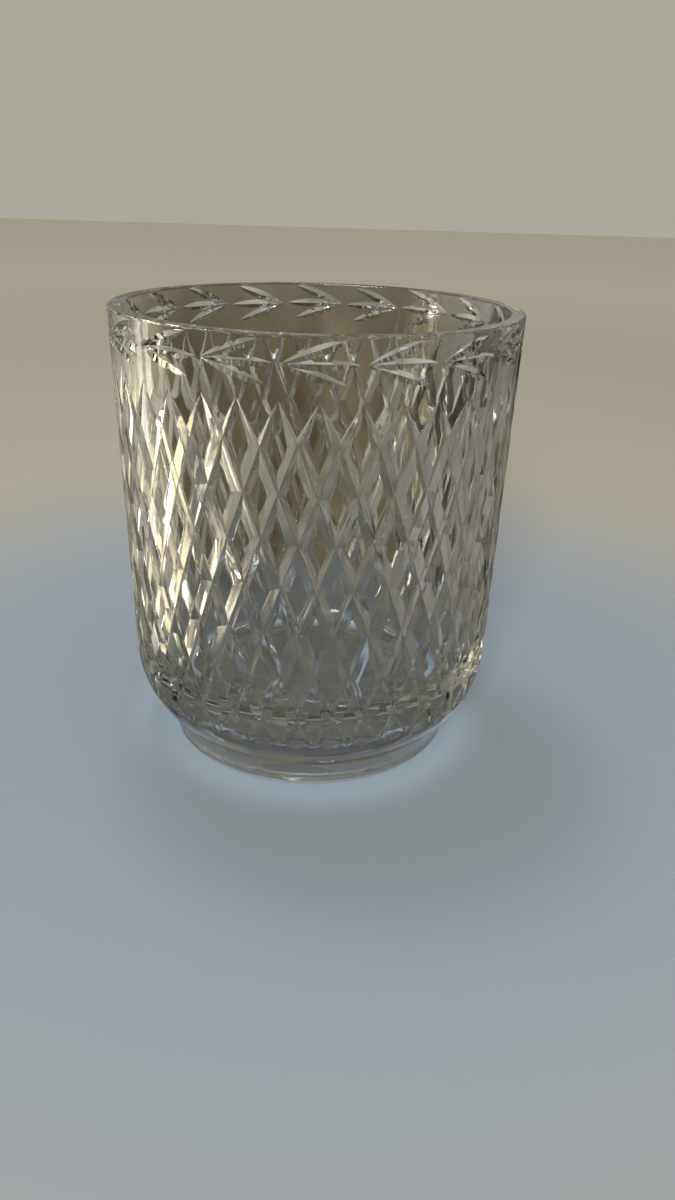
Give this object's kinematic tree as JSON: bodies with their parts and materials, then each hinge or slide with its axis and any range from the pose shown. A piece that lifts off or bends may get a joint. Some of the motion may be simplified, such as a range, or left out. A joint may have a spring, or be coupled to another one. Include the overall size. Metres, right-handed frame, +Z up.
{
  "type": "vase",
  "caption": "Large open-mouthed cylindrical cut crystal vase with a diamond lattice, a chain of leaf cuts under the rim, a rounded shoulder and a low disc foot.",
  "frame": {"origin": "centre of the resting ring, on the surface the vase stands on", "axes": "+Z up along the vase's axis, -Y towards the front"},
  "size_m": [0.2209, 0.221, 0.25],
  "materials": {
    "bowl": "clear lead crystal, cut and polished",
    "foot": "clear lead crystal, fire polished"
  },
  "bodies": {
    "root": {"bowl": "bowl", "foot": "foot"}
  },
  "joints": []
}
